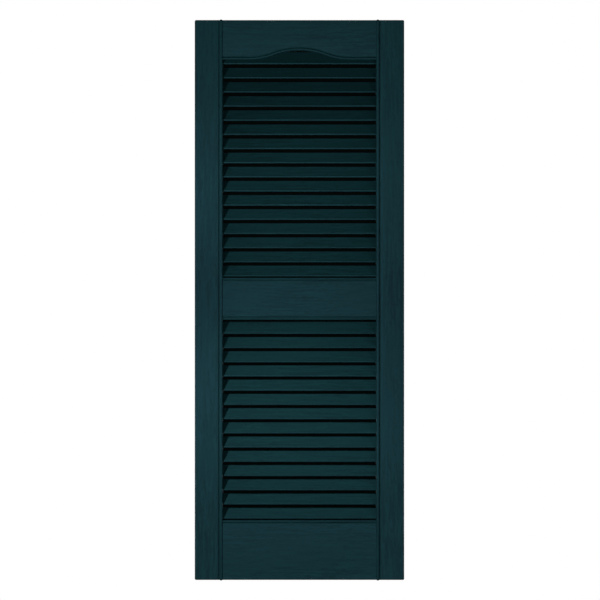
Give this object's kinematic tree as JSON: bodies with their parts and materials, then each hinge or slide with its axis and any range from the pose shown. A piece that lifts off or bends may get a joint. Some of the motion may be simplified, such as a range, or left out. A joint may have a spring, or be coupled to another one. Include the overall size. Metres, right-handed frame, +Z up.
{
  "type": "louvred shutter",
  "caption": "Fixed louvred house shutter with a cathedral-arched top rail, a middle rail and open louvres; one hollow plastic moulding, open at the back, that is fastened flat to a wall.",
  "frame": {"origin": "middle of the back plane that lies on the wall: on the level rib of the middle rail, at half the width and half the height of the panel", "axes": "+Z up along the height, +Y out of the back into the wall, so the louvred front faces -Y; +X to the right of someone who faces the front"},
  "size_m": [0.3706, 0.0267, 0.9926],
  "materials": {
    "shutter_plastic": "dark blue-green, coloured through, satin with a fine moulded wood grain"
  },
  "bodies": {
    "root": {"shutter": "shutter_plastic"}
  },
  "joints": []
}
